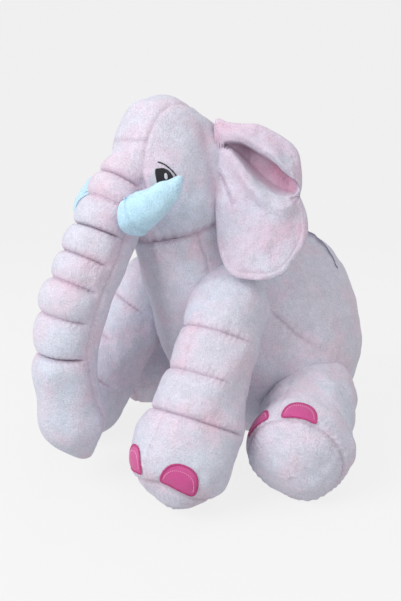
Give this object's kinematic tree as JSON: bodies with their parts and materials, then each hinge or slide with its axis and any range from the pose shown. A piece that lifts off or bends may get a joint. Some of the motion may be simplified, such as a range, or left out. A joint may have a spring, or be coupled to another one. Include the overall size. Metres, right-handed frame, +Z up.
{
  "type": "stuffed elephant",
  "caption": "Sitting plush elephant pillow with a hanging ribbed trunk, stubby tusks, padded ears, embroidered eyes and satin-stitched toenails; head, trunk, ears, legs and tail move.",
  "frame": {"origin": "on the floor under the middle of the bounding box", "axes": "+X to the elephant's own left, -Y the way it faces, +Z up"},
  "size_m": [0.5168, 0.5504, 0.5113],
  "materials": {
    "plush": "short-pile plush, pale lilac grey with pink cast",
    "ear_lining": "short-pile plush on the front of the ears, a little darker",
    "tusk_plush": "smooth white plush",
    "nail_satin": "pink satin with a stitched rim",
    "eye_thread": "black satin-stitch embroidery",
    "glint_thread": "white satin-stitch embroidery",
    "fibre": "white polyester fibre filling"
  },
  "bodies": {
    "torso": {"belly_gusset": "plush", "body_panel_left": "plush", "body_panel_right": "plush", "body_stuffing": "fibre"},
    "neck": {"neck_stuffing": "fibre"},
    "head": {"chin_panel": "plush", "crown_gusset": "plush", "eye_glint_left": "glint_thread", "eye_glint_right": "glint_thread", "eye_iris_left": "eye_thread", "eye_iris_right": "eye_thread", "head_panel_left": "plush", "head_panel_right": "plush", "head_stuffing": "fibre", "tusk_skin_left": "tusk_plush", "tusk_skin_right": "tusk_plush", "tusk_stuffing_left": "fibre", "tusk_stuffing_right": "fibre"},
    "trunk_base": {"trunk_base_ribbed_panel": "plush", "trunk_base_stuffing": "fibre", "trunk_base_under_gusset": "plush"},
    "trunk_middle": {"trunk_middle_ribbed_panel": "plush", "trunk_middle_stuffing": "fibre", "trunk_middle_under_gusset": "plush"},
    "trunk_tip": {"trunk_tip_ribbed_panel": "plush", "trunk_tip_stuffing": "fibre", "trunk_tip_under_gusset": "plush"},
    "ear_left": {"ear_back_panel_left": "plush", "ear_batting_left": "fibre", "ear_front_panel_left": "ear_lining"},
    "ear_right": {"ear_back_panel_right": "plush", "ear_batting_right": "fibre", "ear_front_panel_right": "ear_lining"},
    "front_leg_left": {"front_leg_left_inner_panel": "plush", "front_leg_left_nail_1": "nail_satin", "front_leg_left_nail_2": "nail_satin", "front_leg_left_outer_panel": "plush", "front_leg_left_sole": "plush", "front_leg_left_stuffing": "fibre"},
    "front_leg_right": {"front_leg_right_inner_panel": "plush", "front_leg_right_nail_1": "nail_satin", "front_leg_right_nail_2": "nail_satin", "front_leg_right_outer_panel": "plush", "front_leg_right_sole": "plush", "front_leg_right_stuffing": "fibre"},
    "hind_leg_left": {"hind_leg_left_inner_panel": "plush", "hind_leg_left_nail_1": "nail_satin", "hind_leg_left_nail_2": "nail_satin", "hind_leg_left_outer_panel": "plush", "hind_leg_left_sole": "plush", "hind_leg_left_stuffing": "fibre"},
    "hind_leg_right": {"hind_leg_right_inner_panel": "plush", "hind_leg_right_nail_1": "nail_satin", "hind_leg_right_nail_2": "nail_satin", "hind_leg_right_outer_panel": "plush", "hind_leg_right_sole": "plush", "hind_leg_right_stuffing": "fibre"},
    "tail": {"tail_skin": "plush", "tail_tuft": "plush"}
  },
  "joints": [
    {"name": "neck_turn", "type": "hinge", "parent": "torso", "child": "neck", "pos_m": [0, -0.05, 0.335], "axis": [0, -0.3419, 0.9397], "range_deg": [-8, 8], "stiffness_Nm_per_rad": 6},
    {"name": "head_nod", "type": "hinge", "parent": "neck", "child": "head", "pos_m": [0, -0.05, 0.335], "axis": [1, 0, 0], "range_deg": [-8, 4], "stiffness_Nm_per_rad": 25},
    {"name": "trunk_base_bend", "type": "hinge", "parent": "head", "child": "trunk_base", "pos_m": [0, -0.14, 0.398], "axis": [1, 0, 0], "range_deg": [-12, 4], "stiffness_Nm_per_rad": 3},
    {"name": "trunk_middle_bend", "type": "hinge", "parent": "trunk_base", "child": "trunk_middle", "pos_m": [0, -0.21456, 0.26431], "axis": [1, 0, 0], "range_deg": [-12, 4], "stiffness_Nm_per_rad": 1.5},
    {"name": "trunk_tip_bend", "type": "hinge", "parent": "trunk_middle", "child": "trunk_tip", "pos_m": [0, -0.23775, 0.14794], "axis": [1, 0, 0], "range_deg": [-12, 4], "stiffness_Nm_per_rad": 0.6},
    {"name": "ear_flap_left", "type": "hinge", "parent": "head", "child": "ear_left", "pos_m": [0.062, -0.036, 0.474], "axis": [0, 0, 1], "range_deg": [-13, 4], "stiffness_Nm_per_rad": 0.5},
    {"name": "ear_flap_right", "type": "hinge", "parent": "head", "child": "ear_right", "pos_m": [-0.062, -0.036, 0.474], "axis": [0, 0, 1], "range_deg": [-4, 13], "stiffness_Nm_per_rad": 0.5},
    {"name": "front_leg_swing_left", "type": "hinge", "parent": "torso", "child": "front_leg_left", "pos_m": [0.086, -0.028, 0.256], "axis": [1, 0, 0], "range_deg": [-11, 3], "stiffness_Nm_per_rad": 5},
    {"name": "front_leg_swing_right", "type": "hinge", "parent": "torso", "child": "front_leg_right", "pos_m": [-0.086, -0.028, 0.256], "axis": [1, 0, 0], "range_deg": [-11, 3], "stiffness_Nm_per_rad": 5},
    {"name": "hind_leg_lift_left", "type": "hinge", "parent": "torso", "child": "hind_leg_left", "pos_m": [0.112, 0.112, 0.098], "axis": [-0.8192, -0.5735, 0], "range_deg": [-2, 22], "stiffness_Nm_per_rad": 5},
    {"name": "hind_leg_lift_right", "type": "hinge", "parent": "torso", "child": "hind_leg_right", "pos_m": [-0.112, 0.112, 0.098], "axis": [-0.8192, 0.5735, 0], "range_deg": [-2, 22], "stiffness_Nm_per_rad": 5},
    {"name": "tail_swing", "type": "hinge", "parent": "torso", "child": "tail", "pos_m": [0, 0.256, 0.15], "axis": [1, 0, 0], "range_deg": [0, 45], "stiffness_Nm_per_rad": 0.05}
  ]
}
